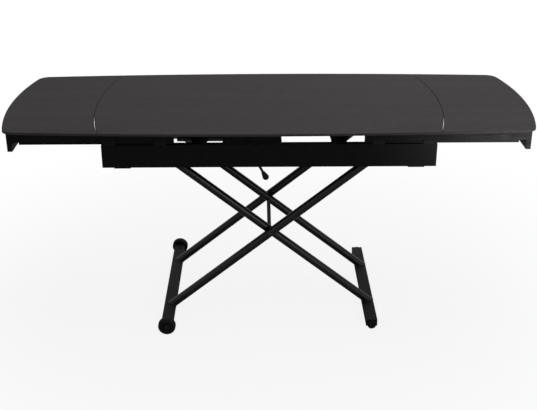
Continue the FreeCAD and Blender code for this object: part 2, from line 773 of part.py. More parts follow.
def make_cross_pivot():
    """The tie between the crossings, its two pivot bolts and the washers."""
    tie_end = "inner_leg_y - tube_radius - body_clearance"
    grip = "2 * pivot_diameter"
    bolt_start = f"{tie_end} - {grip}"
    bolt_length = f"outer_leg_y + tube_radius - ({bolt_start})"
    tie = rod("tie_bar", ("0", f"-({tie_end})", "cross_height"), "tie_diameter",
              f"2 * ({tie_end})", "Y")
    sockets = []
    washers = []
    for side, way in SIDES.items():
        low_y = f"-({tie_end})" if way < 0 else bolt_start
        sockets.append(rod(f"socket_{side}", ("0", low_y, "cross_height"), "pivot_diameter", grip, "Y"))
        profile = (
            ("-1.8 * pivot_diameter / 2", bolt_length),
            ("-1.8 * pivot_diameter / 2", f"{bolt_length} + bolt_head * 0.6"),
            ("-1.2 * pivot_diameter / 2", f"{bolt_length} + bolt_head"),
            ("0", f"{bolt_length} + bolt_head"),
            ("0", "0"),
            ("-pivot_diameter / 2", "0"),
            ("-pivot_diameter / 2", bolt_length),
        )
        spot = ("0", f"{way} * ({bolt_start})", "cross_height")
        node(f"pivot_bolt_{side}", turned(f"bolt_{side}", profile, spot, end_turn(way)))
        thick = "washer_gap - body_clearance"
        face = "outer_leg_y - tube_radius"
        low_y = f"-({face})" if way < 0 else f"{face} - ({thick})"
        ring = rod(f"washer_ring_{side}", ("0", low_y, "cross_height"), "washer_diameter", thick, "Y")
        hole = rod(f"washer_hole_{side}", ("0", low_y, "cross_height"), "pivot_diameter", thick, "Y")
        washers.append(cut(f"washer_{side}", ring, hole))
    node("cross_tie", cut("cross_tie_bar", tie, *sockets))
    node("pivot_washers", group("pivot_washers", *washers))


def make_gas_spring():
    """The traction gas spring that pulls the roller shaft towards the hinge."""
    length = "cylinder_start - cylinder_end"
    skin = rod("cylinder_skin", ("-cylinder_start", "0", "pivot_height"), "cylinder_diameter", length, "X")
    bore = rod("cylinder_bore", ("-cylinder_start", "0", "pivot_height"),
               "rod_diameter + 2 * body_clearance", f"{length} - cylinder_wall", "X")
    node("gas_cylinder", cut("gas_cylinder_body", skin, bore))
    eye = rod("rod_eye", ("-pivot_x", "-eye_width / 2", "pivot_height"), "eye_diameter", "eye_width", "Y")
    stem = rod("rod_stem", ("-pivot_x", "0", "pivot_height"), "rod_diameter", "rod_reach", "X")
    hole = rod("rod_hole", ("-pivot_x", "-eye_width", "pivot_height"),
               "shaft_diameter + 2 * running_clearance", "2 * eye_width", "Y")
    node("gas_rod", cut("gas_rod_body", joined("gas_rod", eye, stem), hole))
    low = "pivot_height - cylinder_diameter / 2"
    tray_roof = "chassis_top - sheet - member_wall"
    node("spring_bracket", box("bracket_plate", ("-cylinder_end", "-bracket_width / 2", low),
                               ("bracket_thickness", "bracket_width", f"{tray_roof} - ({low})")))
    web_inner = "rail_face - sheet"
    tray_start = "-tray_offset - tray_width / 2"
    shell = box("tray_shell", (tray_start, f"-({web_inner})", "member_bottom"),
                ("tray_width", f"2 * ({web_inner})", "member_height"))
    hollow = box("tray_hollow", (f"{tray_start} + member_wall", f"-({web_inner})", "member_bottom"),
                 ("tray_width - 2 * member_wall", f"2 * ({web_inner})", "member_height - member_wall"))
    node("anchor_member", cut("anchor_tray", shell, hollow))


def make_lever():
    """The release lever that hangs behind the front rail, bent towards its knob."""
    block_y = "-(rail_face - sheet)"
    pin_start = f"{block_y} + block_width"
    hub_low = "-lever_plane - lever_hub_width / 2"
    node("lever_bracket", box("lever_block", ("-lever_x - block_length / 3", block_y, "rail_floor"),
                              ("block_length * 2 / 3", "block_width", "block_height * 1.5")))
    node("lever_pin", rod("lever_pin_bar", ("-lever_x", pin_start, "lever_pivot"), "lever_pin",
                          f"{hub_low} + lever_hub_width - ({pin_start})", "Y"))
    hub = rod("lever_hub_barrel", ("-lever_x", hub_low, "lever_pivot"), "lever_hub", "lever_hub_width", "Y")
    knee_spot = ("-lever_x", "-lever_plane", "lever_pivot - lever_drop")
    upright = rod("lever_upright", knee_spot, "lever_rod", "lever_drop", "Z")
    knee = doc.addObject("Part::Sphere", "lever_knee")
    bind(knee, Radius="lever_rod / 2")
    place(knee, knee_spot)
    arm = doc.addObject("Part::Cylinder", "lever_arm")
    bind(arm, Radius="lever_rod / 2", Height="sqrt(lever_lean ^ 2 + lever_slant ^ 2)")
    point_along_arm(arm, knee_spot)
    bore = rod("lever_bore", ("-lever_x", f"{hub_low} - lever_hub_width", "lever_pivot"),
               "lever_pin + 2 * running_clearance", "3 * lever_hub_width", "Y")
    node("lever_rod", cut("lever_rod_body", joined("lever_rod", hub, upright, knee, arm), bore))


def point_along_arm(thing, spot):
    """Point a thing's own Z axis along the lever's slanted arm."""
    place(thing, spot, FreeCAD.Rotation(FreeCAD.Vector(0, 1, 0), 120))
    thing.setExpression("Placement.Rotation.Angle", formula("180 - atan(lever_lean / lever_slant) / 1 deg"))


def make_knob():
    """The egg-shaped knob on the lever's end: a cone that runs into a ball."""
    neck_size = "-0.7 * lever_rod"
    radius = measure("knob_radius")
    middle = FreeCAD.Vector(0, measure("knob_middle"), 0)
    neck = FreeCAD.Vector(measure(neck_size), 0, 0)
    back = neck.sub(middle)
    turn = math.atan2(back.y, back.x) - math.acos(radius / back.Length)
    touch = middle + FreeCAD.Vector(math.cos(turn), math.sin(turn), 0) * radius
    tip = middle + FreeCAD.Vector(0, radius, 0)
    foot = FreeCAD.Vector()
    knob = new_body("knob_egg")
    sketch = new_sketch(knob, "XZ_Plane", "knob_profile")
    ball = Part.Circle(middle, FreeCAD.Vector(0, 0, 1), radius)
    sketch.addGeometry(Part.LineSegment(neck, touch), False)
    sketch.addGeometry(Part.ArcOfCircle(ball, math.pi / 2, turn % (2 * math.pi)), False)
    sketch.addGeometry(Part.LineSegment(tip, foot), False)
    sketch.addGeometry(Part.LineSegment(foot, neck), False)
    sketch.addConstraint(Sketcher.Constraint("Tangent", 0, 2, 1, 2))
    sketch.addConstraint(Sketcher.Constraint("Coincident", 1, 1, 2, 1))
    sketch.addConstraint(Sketcher.Constraint("Coincident", 2, 2, 3, 1))
    sketch.addConstraint(Sketcher.Constraint("Coincident", 3, 2, 0, 1))
    index = sketch.addConstraint(Sketcher.Constraint("Radius", 1, radius))
    sketch.setExpression(f"Constraints[{index}]", formula("knob_radius"))
    pin_point(sketch, 0, 1, neck_size, "0")
    pin_point(sketch, 1, 3, "0", "knob_middle")
    pin_point(sketch, 2, 2, "0", "0")
    sketch.addConstraint(Sketcher.Constraint("PointOnObject", 2, 1, -2))
    spin = knob.newObject("PartDesign::Revolution", "knob_spin")
    spin.Profile = sketch
    spin.ReferenceAxis = (sketch, ["V_Axis"])
    spin.Angle = 360
    point_along_arm(knob, ("lever_lean - lever_x", "-lever_plane",
                           "lever_pivot - lever_drop - lever_slant"))
    node("lever_knob", knob)


make_top()
make_leaf_frame()
make_runners()
make_chassis()
make_outer_frame()
make_inner_frame()
make_cross_pivot()
make_gas_spring()
make_lever()
make_knob()
doc.removeObject(probe.Name)
doc.recompute()

for thing in doc.Objects:
    if "Invalid" in thing.State or "Error" in thing.State:
        raise RuntimeError(f"{thing.Label} failed: {thing.State}")
for thing in nodes:
    if thing.Shape.isNull() or not thing.Shape.isValid() or not thing.Shape.Solids:
        raise RuntimeError(f"{thing.Label} has no valid solid")

os.makedirs("parts", exist_ok=True)
for thing in nodes:
    thing.Shape.exportStep(f"parts/{thing.Label}.step")
    size = thing.Shape.BoundBox
    print(f"{thing.Label:26s} {len(thing.Shape.Solids)} {thing.Shape.Volume / 1000:9.1f} cm3 "
          f"x {size.XMin:8.2f} {size.XMax:8.2f} y {size.YMin:8.2f} {size.YMax:8.2f} "
          f"z {size.ZMin:7.2f} {size.ZMax:7.2f}")
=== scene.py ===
"""Finishes, small fittings, floor, light and camera for the raised and extended coffee table."""

import logging
import math
from dataclasses import dataclass, field, replace
from enum import Enum
from typing import NamedTuple, Protocol

import bmesh
import bpy
from mathutils import Matrix, Vector


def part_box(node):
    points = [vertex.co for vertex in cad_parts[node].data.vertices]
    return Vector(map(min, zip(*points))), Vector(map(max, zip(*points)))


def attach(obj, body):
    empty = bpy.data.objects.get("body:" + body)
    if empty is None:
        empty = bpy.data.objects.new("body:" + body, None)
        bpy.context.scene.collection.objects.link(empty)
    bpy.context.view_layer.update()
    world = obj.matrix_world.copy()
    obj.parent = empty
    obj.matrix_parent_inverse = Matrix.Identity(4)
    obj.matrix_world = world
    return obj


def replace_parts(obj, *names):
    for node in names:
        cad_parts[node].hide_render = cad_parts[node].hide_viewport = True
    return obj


LOG = logging.getLogger("coffee_table")
MILLIMETRE = 0.001
DOWNWARD = Vector((0, 0, -1))

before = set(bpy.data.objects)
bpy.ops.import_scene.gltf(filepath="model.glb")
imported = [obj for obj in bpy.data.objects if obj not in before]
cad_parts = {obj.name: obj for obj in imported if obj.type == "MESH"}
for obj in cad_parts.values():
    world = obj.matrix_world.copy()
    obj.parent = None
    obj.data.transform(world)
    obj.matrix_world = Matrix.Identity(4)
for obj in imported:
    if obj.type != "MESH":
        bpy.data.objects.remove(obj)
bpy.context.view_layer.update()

Colour = tuple[float, float, float]
Outline = list[tuple[float, float]]
NodeSocket = bpy.types.NodeSocket


class Finish(Enum):
    """The finishes of the table, by name."""

    STONE = "fired_stone"
    PAINT = "satin_paint"
    MATT = "matt_paint"
    BOARD = "lacquered_board"
    STEEL = "blackened_steel"
    BRIGHT = "ground_rod"
    NYLON = "moulded_nylon"
    RUBBER = "tyre_rubber"


class Slot(Enum):
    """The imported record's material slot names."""

    PAINT = "black_paint"
    STEEL = "plain_steel"
    NYLON = "black_nylon"
    RUBBER = "black_rubber"


class Side(Enum):
    """The two ends of the table, with the sign of their X."""

    LEFT = -1
    RIGHT = 1

    @property
    def word(self) -> str:
        """The side's name as it stands in node names."""
        return self.name.lower()


class Face(Enum):
    """The two long sides of the table, with the sign of their Y."""

    FRONT = -1
    REAR = 1

    @property
    def word(self) -> str:
        """The face's name as it stands in node names."""
        return self.name.lower()


class Socket(NamedTuple):
    """One socket of a shader group: its name, its kind and its starting value."""

    name: str
    kind: str
    value: float | tuple[float, ...] | None = None


def opaque(colour: Colour) -> tuple[float, float, float, float]:
    """The colour with full alpha, as a colour socket wants it."""
    return (*colour, 1.0)


class SurfaceGroups:
    """The shader groups that more than one finish uses, each built once."""

    MIX_SHARE = 0
    MIX_NUMBERS = (2, 3)
    MIX_COLOURS = (6, 7)
    MIXED_NUMBER = 0
    MIXED_COLOUR = 2
    COLOUR = "NodeSocketColor"
    NUMBER = "NodeSocketFloat"
    VECTOR = "NodeSocketVector"
    EVEN = (1.0, 1.0, 1.0)

    def __init__(self) -> None:
        """Build all four groups."""
        self.mottle = self._mottle()
        self.relief = self._relief()
        self.dust = self._dust()
        self.scuffs = self._scuffs()

    @staticmethod
    def _new(name: str, inputs: list[Socket], outputs: list[Socket]) -> bpy.types.NodeTree:
        """Start a group with its sockets and its two end nodes.

        Args:
            name: the group's name.
            inputs: sockets that a material sets or links.
            outputs: sockets that a material reads.

        Returns:
            The empty group, with nodes called "In" and "Out".
        """
        tree = bpy.data.node_groups.new(name, "ShaderNodeTree")
        for in_out, sockets in (("INPUT", inputs), ("OUTPUT", outputs)):
            for socket in sockets:
                made = tree.interface.new_socket(socket.name, in_out=in_out, socket_type=socket.kind)
                if socket.value is not None:
                    made.default_value = socket.value
        tree.nodes.new("NodeGroupInput").name = "In"
        tree.nodes.new("NodeGroupOutput").name = "Out"
        return tree

    @staticmethod
    def _noise(tree: bpy.types.NodeTree, detail: float, roughness: float = 0.5) -> bpy.types.Node:
        """A noise texture in the object's own metres, drawn out where the group has a Stretch.

        Args:
            tree: the group that gets the nodes.
            detail: how many octaves the noise has.
            roughness: how strong each finer octave is beside the one before.

        Returns:
            The noise node, with its Scale still free.
        """
        place = tree.nodes.new("ShaderNodeTexCoord")
        noise = tree.nodes.new("ShaderNodeTexNoise")
        noise.inputs["Detail"].default_value = detail
        noise.inputs["Roughness"].default_value = roughness
        stretch = tree.nodes["In"].outputs.get("Stretch")
        if stretch is None:
            tree.links.new(place.outputs["Object"], noise.inputs["Vector"])
        else:
            drawn = tree.nodes.new("ShaderNodeVectorMath")
            drawn.operation = "MULTIPLY"
            tree.links.new(place.outputs["Object"], drawn.inputs[0])
            tree.links.new(stretch, drawn.inputs[1])
            tree.links.new(drawn.outputs["Vector"], noise.inputs["Vector"])
        return noise

    @staticmethod
    def _spread(tree: bpy.types.NodeTree, value: NodeSocket, low: float, high: float) -> bpy.types.Node:
        """Draw the part of a value between two levels out to the range from 0 to 1.

        Args:
            tree: the group that gets the node.
            value: the socket with the value.
            low: the level that becomes 0.
            high: the level that becomes 1.

        Returns:
            The node, whose To Min and To Max are still free.
        """
        spread = tree.nodes.new("ShaderNodeMapRange")
        spread.inputs["From Min"].default_value = low
        spread.inputs["From Max"].default_value = high
        tree.links.new(value, spread.inputs["Value"])
        return spread

    @staticmethod
    def _times(tree: bpy.types.NodeTree, first: NodeSocket, second: NodeSocket) -> NodeSocket:
        """Multiply two numbers.

        Args:
            tree: the group that gets the node.
            first: the socket with one number.
            second: the socket with the other.

        Returns:
            The socket with the product.
        """
        product = tree.nodes.new("ShaderNodeMath")
        product.operation = "MULTIPLY"
        tree.links.new(first, product.inputs[0])
        tree.links.new(second, product.inputs[1])
        return product.outputs["Value"]

    def _blend(
        self, tree: bpy.types.NodeTree, share: NodeSocket, colours: tuple[NodeSocket, NodeSocket]
    ) -> NodeSocket:
        """Mix two colours.

        Args:
            tree: the group that gets the node.
            share: how much of the second colour there is, from 0 to 1.
            colours: the sockets with the two colours.

        Returns:
            The socket with the mixed colour.
        """
        mix = tree.nodes.new("ShaderNodeMix")
        mix.data_type = "RGBA"
        tree.links.new(share, mix.inputs[self.MIX_SHARE])
        for colour, place in zip(colours, self.MIX_COLOURS):
            tree.links.new(colour, mix.inputs[place])
        return mix.outputs[self.MIXED_COLOUR]

    def _mottle(self) -> bpy.types.NodeTree:
        """Broad clouds and fine grain between two colours.

        Returns:
            The group.
        """
        tree = self._new(
            "Mottle",
            [
                Socket("Dark", self.COLOUR),
                Socket("Light", self.COLOUR),
                Socket("Cloud Scale", self.NUMBER, 8.0),
                Socket("Grain Scale", self.NUMBER, 300.0),
                Socket("Grain Share", self.NUMBER, 0.5),
                Socket("Stretch", self.VECTOR, self.EVEN),
            ],
            [Socket("Colour", self.COLOUR)],
        )
        start = tree.nodes["In"].outputs
        clouds = self._noise(tree, detail=4.0)
        grain = self._noise(tree, detail=2.0)
        tree.links.new(start["Cloud Scale"], clouds.inputs["Scale"])
        tree.links.new(start["Grain Scale"], grain.inputs["Scale"])
        share = tree.nodes.new("ShaderNodeMix")
        tree.links.new(start["Grain Share"], share.inputs[self.MIX_SHARE])
        for noise, place in zip((clouds, grain), self.MIX_NUMBERS):
            tree.links.new(noise.outputs["Fac"], share.inputs[place])
        spread = self._spread(tree, share.outputs[self.MIXED_NUMBER], low=0.32, high=0.68)
        colour = self._blend(tree, spread.outputs["Result"], (start["Dark"], start["Light"]))
        tree.links.new(colour, tree.nodes["Out"].inputs["Colour"])
        return tree

    def _relief(self) -> bpy.types.NodeTree:
        """Fine bumps that may be drawn out along one axis, with the roughness that goes with them.

        Returns:
            The group.
        """
        tree = self._new(
            "Relief",
            [
                Socket("Scale", self.NUMBER, 800.0),
                Socket("Stretch", self.VECTOR, self.EVEN),
                Socket("Smooth", self.NUMBER, 0.4),
                Socket("Rough", self.NUMBER, 0.6),
            ],
            [Socket("Height", self.NUMBER), Socket("Roughness", self.NUMBER)],
        )
        start = tree.nodes["In"].outputs
        end = tree.nodes["Out"].inputs
        noise = self._noise(tree, detail=3.0)
        tree.links.new(start["Scale"], noise.inputs["Scale"])
        polish = self._spread(tree, noise.outputs["Fac"], low=0.3, high=0.7)
        tree.links.new(start["Smooth"], polish.inputs["To Min"])
        tree.links.new(start["Rough"], polish.inputs["To Max"])
        tree.links.new(noise.outputs["Fac"], end["Height"])
        tree.links.new(polish.outputs["Result"], end["Roughness"])
        return tree

    def _dust(self) -> bpy.types.NodeTree:
        """A thin uneven film of dust on what faces up.

        Returns:
            The group.
        """
        tree = self._new(
            "Settled Dust",
            [
                Socket("Colour", self.COLOUR),
                Socket("Dust", self.COLOUR, (0.12, 0.115, 0.11, 1.0)),
                Socket("Amount", self.NUMBER, 0.1),
                Socket("Scale", self.NUMBER, 26.0),
            ],
            [Socket("Colour", self.COLOUR)],
        )
        start = tree.nodes["In"].outputs
        place = tree.nodes.new("ShaderNodeTexCoord")
        split = tree.nodes.new("ShaderNodeSeparateXYZ")
        tree.links.new(place.outputs["Normal"], split.inputs["Vector"])
        upward = self._spread(tree, split.outputs["Z"], low=0.35, high=1.0)
        patches = self._noise(tree, detail=5.0)
        tree.links.new(start["Scale"], patches.inputs["Scale"])
        film = self._times(tree, upward.outputs["Result"], patches.outputs["Fac"])
        amount = self._times(tree, film, start["Amount"])
        colour = self._blend(tree, amount, (start["Colour"], start["Dust"]))
        tree.links.new(colour, tree.nodes["Out"].inputs["Colour"])
        return tree

    def _scuffs(self) -> bpy.types.NodeTree:
        """Sparse paler rub marks.

        Returns:
            The group.
        """
        tree = self._new(
            "Rub Marks",
            [
                Socket("Colour", self.COLOUR),
                Socket("Rubbed", self.COLOUR, (0.05, 0.05, 0.05, 1.0)),
                Socket("Scale", self.NUMBER, 45.0),
                Socket("Amount", self.NUMBER, 0.3),
            ],
            [Socket("Colour", self.COLOUR)],
        )
        start = tree.nodes["In"].outputs
        noise = self._noise(tree, detail=6.0, roughness=0.7)
        tree.links.new(start["Scale"], noise.inputs["Scale"])
        marks = self._spread(tree, noise.outputs["Fac"], low=0.6, high=0.78)
        amount = self._times(tree, marks.outputs["Result"], start["Amount"])
        colour = self._blend(tree, amount, (start["Colour"], start["Rubbed"]))
        tree.links.new(colour, tree.nodes["Out"].inputs["Colour"])
        return tree


class Mixer:
    """One material under construction, with its Principled shader."""

    def __init__(self, name: str) -> None:
        """Start the material.

        Args:
            name: the material's name.
        """
        self.material = bpy.data.materials.new(name)
        self.material.use_nodes = True
        self.tree = self.material.node_tree
        self.shader = self.tree.nodes["Principled BSDF"]

    def group(self, tree: bpy.types.NodeTree, **values: float | tuple[float, ...]) -> bpy.types.Node:
        """Place a shader group with its own values.

        Args:
            tree: the group.
            **values: socket values, with spaces in socket names written as underscores.

        Returns:
            The group node.
        """
        node = self.tree.nodes.new("ShaderNodeGroup")
        node.node_tree = tree
        for name, value in values.items():
            node.inputs[name.replace("_", " ")].default_value = value
        return node

    def link(self, start: NodeSocket, end: NodeSocket) -> None:
        """Join two sockets."""
        self.tree.links.new(start, end)

    def bump(self, height: NodeSocket, depth: float, strength: float) -> None:
        """Turn a height into the shader's normal.

        Args:
            height: the socket with the height.
            depth: the bumps' depth in metres.
            strength: how strongly they show, from 0 to 1.
        """
        node = self.tree.nodes.new("ShaderNodeBump")
        node.inputs["Distance"].default_value = depth
        node.inputs["Strength"].default_value = strength
        self.link(height, node.inputs["Height"])
        self.link(node.outputs["Normal"], self.shader.inputs["Normal"])

    def surface(self, colour: NodeSocket, relief: bpy.types.Node, depth: float, strength: float) -> None:
        """Give the shader its colour, and its roughness and bumps from one relief.

        Args:
            colour: the socket with the finished colour.
            relief: the relief group's node.
            depth: the bumps' depth in metres.
            strength: how strongly they show, from 0 to 1.
        """
        self.link(colour, self.shader.inputs["Base Color"])
        self.link(relief.outputs["Roughness"], self.shader.inputs["Roughness"])
        self.bump(relief.outputs["Height"], depth, strength)

    def plain(self, **values: float) -> None:
        """Set shader sockets that are the same all over, with spaces written as underscores."""
        for name, value in values.items():
            self.shader.inputs[name.replace("_", " ")].default_value = value


class Maker(Protocol):
    """Anything that makes one finish."""

    def make(self, name: str, groups: SurfaceGroups) -> bpy.types.Material:
        """Make the material."""


@dataclass(frozen=True)
class StoneFinish:
    """Matte charcoal fired stone with a fine mottle drawn out along the table."""

    dark: Colour = (0.0307, 0.0277, 0.0285)
    light: Colour = (0.043, 0.0387, 0.04)
    cloud_scale: float = 12.0
    grain_scale: float = 320.0
    grain_share: float = 0.55
    stretch: tuple[float, float, float] = (0.12, 1.0, 1.0)
    smooth: float = 0.56
    rough: float = 0.72
    specular: float = 0.06
    dust: float = 0.05
    pore_scale: float = 520.0
    pore_depth: float = 0.08 * MILLIMETRE
    pore_strength: float = 0.6

    def make(self, name: str, groups: SurfaceGroups) -> bpy.types.Material:
        """Make the stone.

        Args:
            name: the material's name.
            groups: the shared shader groups.

        Returns:
            The material.
        """
        mixer = Mixer(name)
        mottle = mixer.group(
            groups.mottle,
            Dark=opaque(self.dark),
            Light=opaque(self.light),
            Cloud_Scale=self.cloud_scale,
            Grain_Scale=self.grain_scale,
            Grain_Share=self.grain_share,
            Stretch=self.stretch,
        )
        dust = mixer.group(groups.dust, Amount=self.dust)
        relief = mixer.group(
            groups.relief, Scale=self.pore_scale, Stretch=self.stretch, Smooth=self.smooth, Rough=self.rough
        )
        mixer.link(mottle.outputs["Colour"], dust.inputs["Colour"])
        mixer.surface(dust.outputs["Colour"], relief, self.pore_depth, self.pore_strength)
        mixer.plain(Specular_IOR_Level=self.specular)
        return mixer.material


@dataclass(frozen=True)
class CoatFinish:
    """A dark coat over metal, plastic or rubber: slight colour change, fine texture, dust and rubs."""

    dark: Colour
    light: Colour
    rubbed: Colour
    smooth: float
    rough: float
    specular: float
    texture_scale: float
    texture_depth: float
    dust: float
    rubs: float
    cloud_scale: float = 14.0
    grain_share: float = 0.35
    texture_strength: float = 0.5

    def make(self, name: str, groups: SurfaceGroups) -> bpy.types.Material:
        """Make the coat.

        Args:
            name: the material's name.
            groups: the shared shader groups.

        Returns:
            The material.
        """
        mixer = Mixer(name)
        mottle = mixer.group(
            groups.mottle,
            Dark=opaque(self.dark),
            Light=opaque(self.light),
            Cloud_Scale=self.cloud_scale,
            Grain_Scale=self.texture_scale,
            Grain_Share=self.grain_share,
        )
        scuffs = mixer.group(groups.scuffs, Rubbed=opaque(self.rubbed), Amount=self.rubs)
        dust = mixer.group(groups.dust, Amount=self.dust)
        relief = mixer.group(groups.relief, Scale=self.texture_scale, Smooth=self.smooth, Rough=self.rough)
        mixer.link(mottle.outputs["Colour"], scuffs.inputs["Colour"])
        mixer.link(scuffs.outputs["Colour"], dust.inputs["Colour"])
        mixer.surface(dust.outputs["Colour"], relief, self.texture_depth, self.texture_strength)
        mixer.plain(Specular_IOR_Level=self.specular)
        return mixer.material


@dataclass(frozen=True)
class BoardFinish:
    """Black lacquer over board, with the grain just showing along X."""

    dark: Colour = (0.0018, 0.0018, 0.002)
    light: Colour = (0.0042, 0.0042, 0.0045)
    cloud_scale: float = 11.0
    fleck_scale: float = 420.0
    fleck_share: float = 0.3
    grain_scale: float = 380.0
    grain_stretch: tuple[float, float, float] = (0.06, 1.0, 1.0)
    grain_depth: float = 0.12 * MILLIMETRE
    grain_strength: float = 0.35
    smooth: float = 0.42
    rough: float = 0.58
    specular: float = 0.08
    dust: float = 0.06

    def make(self, name: str, groups: SurfaceGroups) -> bpy.types.Material:
        """Make the lacquered board.

        Args:
            name: the material's name.
            groups: the shared shader groups.

        Returns:
            The material.
        """
        mixer = Mixer(name)
        mottle = mixer.group(
            groups.mottle,
            Dark=opaque(self.dark),
            Light=opaque(self.light),
            Cloud_Scale=self.cloud_scale,
            Grain_Scale=self.fleck_scale,
            Grain_Share=self.fleck_share,
        )
        dust = mixer.group(groups.dust, Amount=self.dust)
        grain = mixer.group(
            groups.relief,
            Scale=self.grain_scale,
            Stretch=self.grain_stretch,
            Smooth=self.smooth,
            Rough=self.rough,
        )
        mixer.link(mottle.outputs["Colour"], dust.inputs["Colour"])
        mixer.surface(dust.outputs["Colour"], grain, self.grain_depth, self.grain_strength)
        mixer.plain(Specular_IOR_Level=self.specular)
        return mixer.material


@dataclass(frozen=True)
class SteelFinish:
    """Bare steel, drawn along one axis."""

    dark: Colour
    light: Colour
    stretch: tuple[float, float, float]
    smooth: float
    rough: float
    cloud_scale: float = 40.0
    fleck_scale: float = 700.0
    fleck_share: float = 0.5
    line_scale: float = 1500.0
    line_depth: float = 0.03 * MILLIMETRE
    line_strength: float = 0.4

    def make(self, name: str, groups: SurfaceGroups) -> bpy.types.Material:
        """Make the steel.

        Args:
            name: the material's name.
            groups: the shared shader groups.

        Returns:
            The material.
        """
        mixer = Mixer(name)
        mottle = mixer.group(
            groups.mottle,
            Dark=opaque(self.dark),
            Light=opaque(self.light),
            Cloud_Scale=self.cloud_scale,
            Grain_Scale=self.fleck_scale,
            Grain_Share=self.fleck_share,
        )
        drawn = mixer.group(
            groups.relief, Scale=self.line_scale, Stretch=self.stretch, Smooth=self.smooth, Rough=self.rough
        )
        mixer.surface(mottle.outputs["Colour"], drawn, self.line_depth, self.line_strength)
        mixer.plain(Metallic=1.0)
        return mixer.material


SATIN_COAT = CoatFinish(
    dark=(0.0016, 0.0016, 0.0018),
    light=(0.0036, 0.0036, 0.004),
    rubbed=(0.011, 0.011, 0.012),
    smooth=0.2,
    rough=0.31,
    specular=0.27,
    texture_scale=900.0,
    texture_depth=0.12 * MILLIMETRE,
    dust=0.10,
    rubs=0.25,
)
MAKERS: dict[Finish, Maker] = {
    Finish.STONE: StoneFinish(),
    Finish.PAINT: SATIN_COAT,
    Finish.MATT: replace(SATIN_COAT, smooth=0.42, rough=0.56, specular=0.08),
    Finish.BOARD: BoardFinish(),
    Finish.STEEL: SteelFinish(
        dark=(0.045, 0.045, 0.048),
        light=(0.10, 0.10, 0.105),
        stretch=(1.0, 0.05, 1.0),
        smooth=0.28,
        rough=0.5,
    ),
    Finish.BRIGHT: SteelFinish(
        dark=(0.42, 0.42, 0.43),
        light=(0.55, 0.55, 0.56),
        stretch=(0.05, 1.0, 1.0),
        smooth=0.12,
        rough=0.24,
    ),
    Finish.NYLON: CoatFinish(
        dark=(0.0024, 0.0024, 0.0024),
        light=(0.0056, 0.0056, 0.0056),
        rubbed=(0.018, 0.018, 0.018),
        smooth=0.48,
        rough=0.64,
        specular=0.12,
        texture_scale=1400.0,
        texture_depth=0.08 * MILLIMETRE,
        dust=0.05,
        rubs=0.2,
    ),
    Finish.RUBBER: CoatFinish(
        dark=(0.003, 0.003, 0.003),
        light=(0.006, 0.006, 0.006),
        rubbed=(0.016, 0.015, 0.014),
        smooth=0.68,
        rough=0.85,
        specular=0.2,
        texture_scale=700.0,
        texture_depth=0.2 * MILLIMETRE,
        dust=0.08,
        rubs=0.4,
    ),
}


class Palette:
    """All finishes as materials, made once."""

    def __init__(self) -> None:
        """Make every finish."""
        groups = SurfaceGroups()
        self._materials = {finish: maker.make(finish.value, groups) for finish, maker in MAKERS.items()}

    def paint(self, thing: bpy.types.Object, finish: Finish) -> None:
        """Give a piece one finish in all its slots.

        Args:
            thing: the piece.
            finish: the finish that it gets.
        """
        slots = thing.data.materials
        if not slots:
            slots.append(self._materials[finish])
        for index in range(len(slots)):
            slots[index] = self._materials[finish]


def new_piece(name: str, shape: bmesh.types.BMesh, smooth_below: float = 35.0) -> bpy.types.Object:
    """Turn a finished bmesh into a smooth-shaded piece with its sharp edges kept.

    Args:
        name: the piece's name.
        shape: the bmesh, which is freed.
        smooth_below: edges that turn by fewer degrees are shaded smooth.

    Returns:
        The piece, linked to the scene.
    """
    bmesh.ops.recalc_face_normals(shape, faces=shape.faces)
    mesh = bpy.data.meshes.new(name)
    shape.to_mesh(mesh)
    shape.free()
    mesh.shade_smooth()
    mesh.set_sharp_from_angle(angle=math.radians(smooth_below))
    piece = bpy.data.objects.new(name, mesh)
    bpy.context.scene.collection.objects.link(piece)
    return piece


def lathe(name: str, outline: Outline, place: Matrix, segments: int = 64) -> bpy.types.Object:
    """Turn an outline of (radius, height) points about its own Z axis.

    Args:
        name: the piece's name.
        outline: points in metres, closed on themselves or ending on the axis at both ends.
        place: where the piece stands.
        segments: steps round the axis.

    Returns:
        The turned piece.
    """
    shape = bmesh.new()
    rings = []
    for radius, height in outline:
        steps = 1 if radius == 0 else segments
        ring = []
        for step in range(steps):
            angle = 2 * math.pi * step / steps
            ring.append(shape.verts.new((radius * math.cos(angle), radius * math.sin(angle), height)))
        rings.append(ring)
    pairs = list(zip(rings, rings[1:]))
    if len(rings[0]) > 1:
        pairs.append((rings[-1], rings[0]))
    for low, high in pairs:
        skin_rings(shape, low, high, segments)
    shape.transform(place)
    return new_piece(name, shape)


def skin_rings(
    shape: bmesh.types.BMesh, low: list[bmesh.types.BMVert], high: list[bmesh.types.BMVert], segments: int
) -> None:
    """Join two rings with faces, where either may be a single point.

    Args:
        shape: the bmesh that gets the faces.
        low: the first ring.
        high: the second ring.
        segments: steps round the axis.
    """
    for step in range(segments):
        after = (step + 1) % segments
        lower = [low[step % len(low)], low[after % len(low)]]
        upper = [high[after % len(high)], high[step % len(high)]]
        face = list(dict.fromkeys(lower + upper))
        if len(face) > 2:
            shape.faces.new(face)


def arc(centre: tuple[float, float], radius: float, start: float, end: float, steps: int) -> Outline:
    """Points along an arc.

    Args:
        centre: the arc's centre.
        radius: its radius.
        start: first angle in degrees.
        end: last angle in degrees.
        steps: how many stretches the arc has.

    Returns:
        The points, both ends included.
    """
    points = []
    for step in range(steps + 1):
        angle = math.radians(start + (end - start) * step / steps)
        points.append((centre[0] + radius * math.cos(angle), centre[1] + radius * math.sin(angle)))
    return points


def facing(spot: Vector, way: Vector) -> Matrix:
    """A place at a spot whose own Z axis points one way."""
    return Matrix.Translation(spot) @ way.to_track_quat("Z", "Y").to_matrix().to_4x4()


